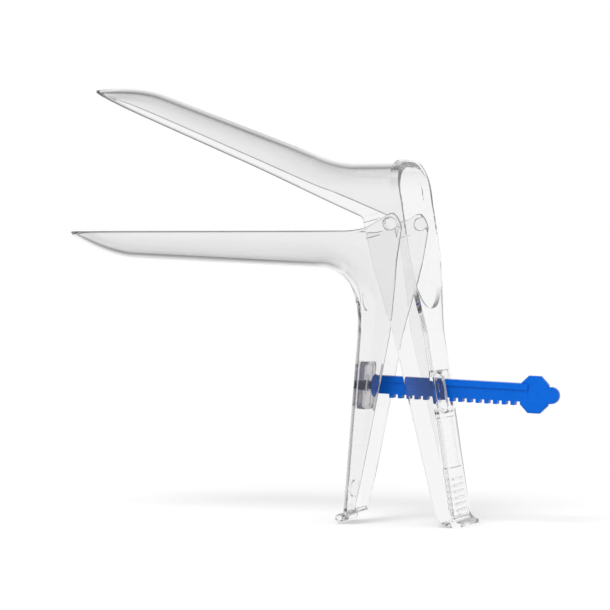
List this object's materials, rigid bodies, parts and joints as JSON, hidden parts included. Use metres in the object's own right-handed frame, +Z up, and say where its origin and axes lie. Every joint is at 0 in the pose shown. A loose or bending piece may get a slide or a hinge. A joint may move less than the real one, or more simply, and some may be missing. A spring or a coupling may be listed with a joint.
{
  "type": "bivalve speculum",
  "caption": "Hinged bivalve speculum of clear plastic, its blades held open by a blue toothed lock bar between the handles.",
  "frame": {"origin": "centre of the bounding box's underside, with the valves at the opening shown in the picture", "axes": "+X from the blades' points towards the lock bar's knob, +Y along the hinge line, +Z up from the handles' feet"},
  "size_m": [0.185, 0.0404, 0.1572],
  "materials": {
    "clear_plastic": "clear, polished",
    "smoke_plastic": "clear grey, polished",
    "blue_plastic": "glossy"
  },
  "bodies": {
    "lower_body": {"lower_valve": "clear_plastic", "bar_socket": "smoke_plastic"},
    "upper_body": {"upper_valve": "clear_plastic"},
    "bar_body": {"ratchet_bar": "blue_plastic"}
  },
  "joints": [
    {"name": "valve_hinge", "type": "hinge", "parent": "lower_body", "child": "upper_body", "pos_m": [0.03607, 0, 0.107], "axis": [0, 1, 0], "range_deg": [-23.3, 16]},
    {"name": "bar_tilt", "type": "hinge", "parent": "lower_body", "child": "bar_body", "pos_m": [0.02064, 0, 0.04941], "axis": [0, 1, 0], "range_deg": [-11.65, 8]}
  ],
  "couplings": [
    {"joint": "bar_tilt", "follows": "valve_hinge", "ratio": 0.5}
  ]
}
